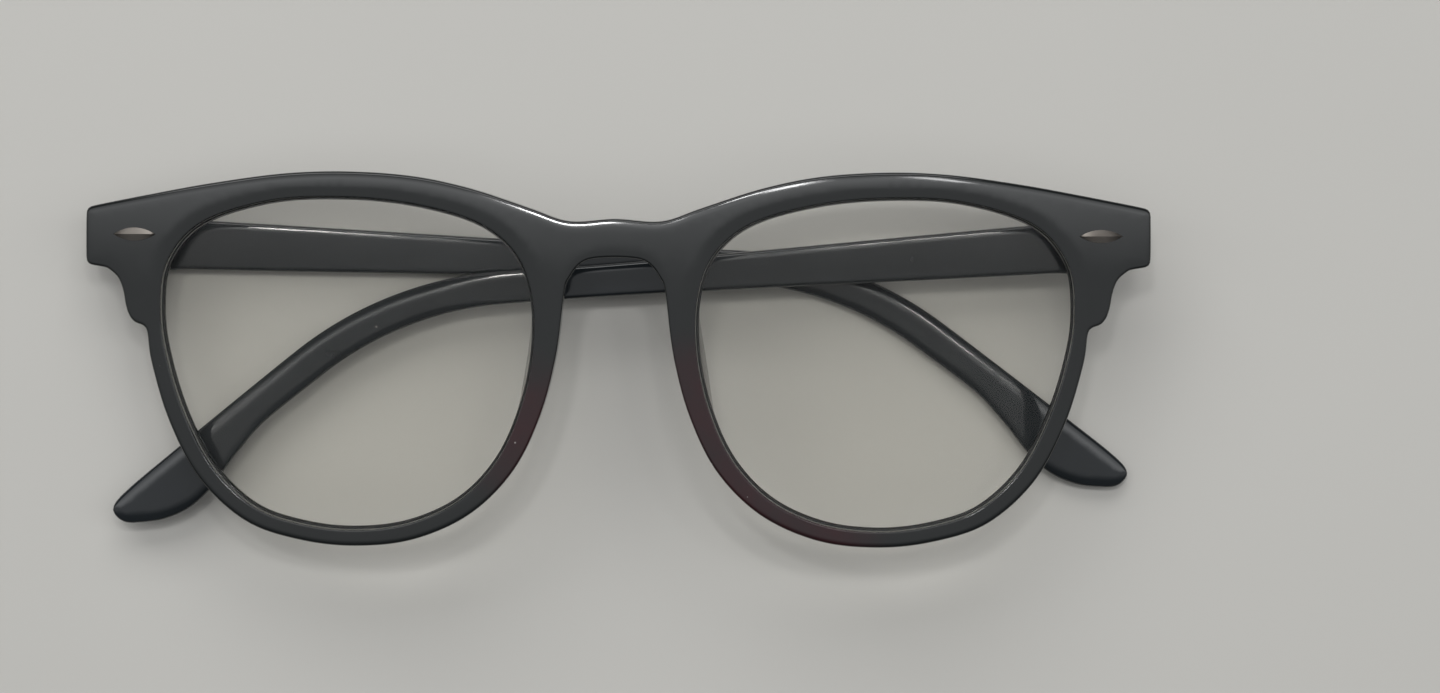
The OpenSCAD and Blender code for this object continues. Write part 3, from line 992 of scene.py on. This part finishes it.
def handled_plastic(tree, shader, base, handling):
    """Feeds a plastic's shader with colour, dust, smudged gloss and rubbed relief."""
    smudge, dust, rough = handling
    marks = add(tree, "Group", {"Smudge Size": smudge, "Dust": dust}, node_tree=handling_group()).outputs
    gloss = remap(tree, marks["Smudge"], to=rough)
    feed(tree, shader, {
        "Base Color": blend(tree, marks["Dust"], base, DUST_COLOUR),
        "Roughness": maths(tree, "MULTIPLY_ADD", marks["Rub"], RUB_ROUGHENS, gloss),
        "Normal": bump(tree, marks["Rub"], RUB_RELIEF, depth=0.01 * MM),
        "IOR": PLASTIC_IOR,
    })


def frame_plastic(piece):
    """Polished near-black acetate, with a painted wine-red glow on the nose side of the rims, where light
    shines through the thin dark-red plastic.
    """
    material, tree, shader = new_material("frame_plastic")
    place = own_place(tree)
    # Painted glow: wine-red near each of its points, fading out with distance, unevenly
    painted_glow_mask = 0.0
    for name in WINE_GLOW_POINTS:
        centre = place_on(POINTS[name], piece)
        away = add(tree, "VectorMath", {0: place, 1: centre}, operation="DISTANCE").outputs["Value"]
        painted_glow_mask = maths(tree, "MAXIMUM", painted_glow_mask, remap(tree, away, span=WINE_GLOW_REACH, kind="SMOOTHSTEP"))
    uneven = remap(tree, noise(tree, place, scale=260.0, detail=3.0), span=(0.3, 0.7), to=(0.55, 1.0))
    base = blend(tree, maths(tree, "MULTIPLY", painted_glow_mask, uneven), colour("frame_black"), colour("frame_wine_glow"))
    handled_plastic(tree, shader, base, FRAME_HANDLING)
    return material


def temple_plastic():
    """Blue-black plastic, cloudier than the front's and a little glossier."""
    material, tree, shader = new_material("temple_plastic")
    cloud = noise(tree, own_place(tree), scale=120.0, detail=4.0)
    black = colour("temple_black")
    handled_plastic(tree, shader, blend(tree, cloud, black, scaled(black, 1.5)), TEMPLE_HANDLING)
    return material


def lens_plastic():
    """Clear coated lens plastic: it passes the light straight through, so its shadow stays faint."""
    material, tree, shader = new_material("lens_clear")
    film = noise(tree, own_place(tree), scale=45.0, detail=3.0)
    tint = colour("lens_tint")
    feed(tree, shader, {
        "Base Color": tint,
        "Roughness": remap(tree, film, span=(0.4, 0.8), to=(0.0, 0.035)),
        "IOR": LENS_IOR,
        "Transmission Weight": 1.0,
    })
    through = add(tree, "BsdfTransparent", {"Color": tint}).outputs[0]
    path = add(tree, "LightPath").outputs
    unbent = maths(tree, "MAXIMUM", path["Is Shadow Ray"], path["Is Diffuse Ray"])
    mixed = add(tree, "MixShader", {0: unbent, 1: shader.outputs[0], 2: through})
    tree.links.new(mixed.outputs[0], tree.nodes["Material Output"].inputs["Surface"])
    return material


def ground_plastic(name, painted_shade_share):
    """The lens's ground edge: pale and matt, with painted shade (the frame's black) where it doesn't face
    down, for the rim's shadow.
    """
    material, tree, shader = new_material(name)
    marks = add(tree, "Group", {"Stretch": (1500.0, 1500.0, 9000.0), "Depth": 0.5},
                node_tree=grain_group()).outputs
    edge = colour("ground_edge")
    ground = blend(tree, marks["Shade"], scaled(edge, 0.75), edge)
    facing = add(tree, "SeparateXYZ", {0: add(tree, "TexCoord").outputs["Normal"]}).outputs["Y"]
    # Painted shade: the frame's black laid over the edge as it turns away from facing down, up to the given
    # share
    painted_shade = remap(tree, facing, span=(-0.75, -0.35), to=(0.0, painted_shade_share))
    feed(tree, shader, {
        "Base Color": blend(tree, painted_shade, ground, colour("frame_black")),
        "Roughness": 0.6,
        "Normal": bump(tree, marks["Height"], strength=0.2, depth=0.01 * MM),
    })
    return material


def brushed_metal(name):
    """Metal with fine drawn lines and an uneven shade."""
    material, tree, shader = new_material(name)
    shade, rough, stretch = METALS[name]
    base = colour(shade)
    grain = add(tree, "Group", {"Stretch": stretch, "Depth": 0.6}, node_tree=grain_group()).outputs
    feed(tree, shader, {
        "Base Color": blend(tree, grain["Shade"], scaled(base, 0.72), base),
        "Metallic": 1.0,
        "Roughness": remap(tree, grain["Shade"], to=(rough * 0.8, rough * 1.3)),
        "Normal": bump(tree, grain["Height"], strength=0.25, depth=0.02 * MM),
    })
    return material


# ---- Stage, camera and image points ----


class GLASSES_OT_stage(bpy.types.Operator):
    """Set up the camera, the pale floor and the soft studio light"""

    bl_idname = "glasses.stage"
    bl_label = "Build Stage"

    def execute(self, context):
        scene = context.scene
        scene.view_settings.view_transform = "Standard"
        self.camera(scene)
        self.floor(scene)
        self.world(scene)
        for name, (place, span, power) in LAMPS.items():
            self.lamp(scene, name, place, span, power)
        return {"FINISHED"}

    def camera(self, scene):
        data = bpy.data.cameras.new("camera")
        data.sensor_fit = "AUTO"
        data.sensor_width = SENSOR_WIDTH
        data.lens = CAMERA_LENS
        data.clip_start = 0.01
        out = Vector((math.sin(CAMERA_LEAN_X), math.sin(CAMERA_LEAN_Y) * math.cos(CAMERA_LEAN_X),
                      math.cos(CAMERA_LEAN_Y) * math.cos(CAMERA_LEAN_X)))
        level = UP.cross(out).normalized()
        high = out.cross(level)
        turn = Matrix.Rotation(CAMERA_ROLL, 3, out)
        axes = Matrix((turn @ level, turn @ high, out)).transposed().to_4x4()
        camera = bpy.data.objects.new("camera", data)
        camera.matrix_world = Matrix.Translation(CAMERA_TARGET + out * CAMERA_DISTANCE) @ axes
        scene.collection.objects.link(camera)
        scene.camera = camera
        bpy.context.view_layer.update()

    def floor(self, scene):
        mesh = bpy.data.meshes.new("floor")
        corners = ((-1, -1), (1, -1), (1, 1), (-1, 1))
        mesh.from_pydata([(x * FLOOR_REACH, y * FLOOR_REACH, 0) for x, y in corners], [], [(0, 1, 2, 3)])
        floor = bpy.data.objects.new("floor", mesh)
        scene.collection.objects.link(floor)
        material, tree, shader = new_material("pale_floor")
        cloud = noise(tree, own_place(tree), scale=9.0, detail=3.0)
        base = colour("floor")
        feed(tree, shader, {"Base Color": blend(tree, cloud, scaled(base, 0.95), base), "Roughness": 0.6})
        mesh.materials.append(material)

    def world(self, scene):
        world = bpy.data.worlds.new("studio")
        world.use_nodes = True
        tree = world.node_tree
        way = add(tree, "TexCoord").outputs["Generated"]
        spread = add(tree, "VectorMath", {0: way, 1: SKY_SCALE, 2: SKY_SHIFT}, operation="MULTIPLY_ADD")
        apart = add(tree, "VectorMath", {0: spread.outputs[0]}, operation="LENGTH").outputs["Value"]
        patch = remap(tree, apart, span=SKY_FADE, to=(1.0, 0.0))
        beyond = add(tree, "SeparateXYZ", {0: way}).outputs["Y"]
        overhead = remap(tree, beyond, span=SKY_BRIGHTENS, to=SKY_LEVELS)
        level = maths(tree, "MULTIPLY_ADD", patch, overhead, SKY_AROUND)
        feed(tree, tree.nodes["Background"], {"Color": SKY_COLOUR, "Strength": level})
        scene.world = world

    def lamp(self, scene, name, place, span, power):
        data = bpy.data.lights.new(name, "AREA")
        data.shape = "RECTANGLE"
        data.size, data.size_y = span
        data.energy = power
        lamp = bpy.data.objects.new(name, data)
        lamp.location = place
        lamp.rotation_euler = (-Vector(place)).to_track_quat("-Z", "Y").to_euler()
        scene.collection.objects.link(lamp)


def view_ray(x, y):
    """The camera's place, and the way from it through a point of the photograph."""
    camera = bpy.context.scene.camera
    data = camera.data
    side = max(IMAGE_W, IMAGE_H)
    way = Vector((x - IMAGE_W / 2 + data.shift_x * side, IMAGE_H / 2 - y + data.shift_y * side,
                  -side * data.lens / data.sensor_width))
    return camera.matrix_world.translation, (camera.matrix_world.to_3x3() @ way).normalized()


def place_on(point, piece):
    """The place on a finished piece that shows at a point of the photograph, or the nearest to its ray."""
    start, way = view_ray(*point)
    depsgraph = bpy.context.evaluated_depsgraph_get()
    tree = BVHTree.FromObject(piece, depsgraph)
    hit = tree.ray_cast(start, way)[0]
    if hit is None:
        reach = (CAMERA_TARGET - start).dot(way)
        hit = tree.find_nearest(start + way * reach)[0]
    return hit


def shown_at(place):
    """Where a place shows in the photograph's frame."""
    camera = bpy.context.scene.camera
    data = camera.data
    side = max(IMAGE_W, IMAGE_H)
    local = camera.matrix_world.inverted() @ place
    scale = side * data.lens / data.sensor_width / -local.z
    return (IMAGE_W / 2 - data.shift_x * side + local.x * scale,
            IMAGE_H / 2 + data.shift_y * side - local.y * scale)


def write_points():
    """Finds where each painted glow point lands on the front and where that place shows in the frame;
    nothing is kept.
    """
    for name in WINE_GLOW_POINTS:
        shown_at(place_on(POINTS[name], bpy.data.objects["front_shell"]))


# ---- Panel and registration ----


class GLASSES_PT_panel(bpy.types.Panel):
    """Lists the sizes, the colours and the pieces"""

    bl_label = "Folded Glasses"
    bl_idname = "GLASSES_PT_panel"
    bl_space_type = "VIEW_3D"
    bl_region_type = "UI"
    bl_category = "Glasses"

    def draw(self, context):
        column = self.layout.column()
        for group in (context.scene.glasses_sizes, context.scene.glasses_colours):
            for name in group.__annotations__:
                column.prop(group, name)
            column.separator()
        for operator in OPERATORS:
            column.operator(operator.bl_idname)


OPERATORS = (GLASSES_OT_stage, GLASSES_OT_front, GLASSES_OT_lenses, GLASSES_OT_temples, GLASSES_OT_plaques,
             GLASSES_OT_hinges)
CLASSES = (GlassesSizes, GlassesColours) + OPERATORS + (GLASSES_PT_panel,)


def register():
    for cls in CLASSES:
        bpy.utils.register_class(cls)
    bpy.types.Scene.glasses_sizes = bpy.props.PointerProperty(type=GlassesSizes)
    bpy.types.Scene.glasses_colours = bpy.props.PointerProperty(type=GlassesColours)


def unregister():
    del bpy.types.Scene.glasses_colours
    del bpy.types.Scene.glasses_sizes
    for cls in reversed(CLASSES):
        bpy.utils.unregister_class(cls)


def main():
    register()
    bpy.ops.glasses.stage()
    bpy.ops.glasses.front()
    bpy.ops.glasses.lenses()
    bpy.ops.glasses.temples()
    bpy.ops.glasses.plaques()
    bpy.ops.glasses.hinges()
    write_points()


if __name__ == "__main__":
    main()
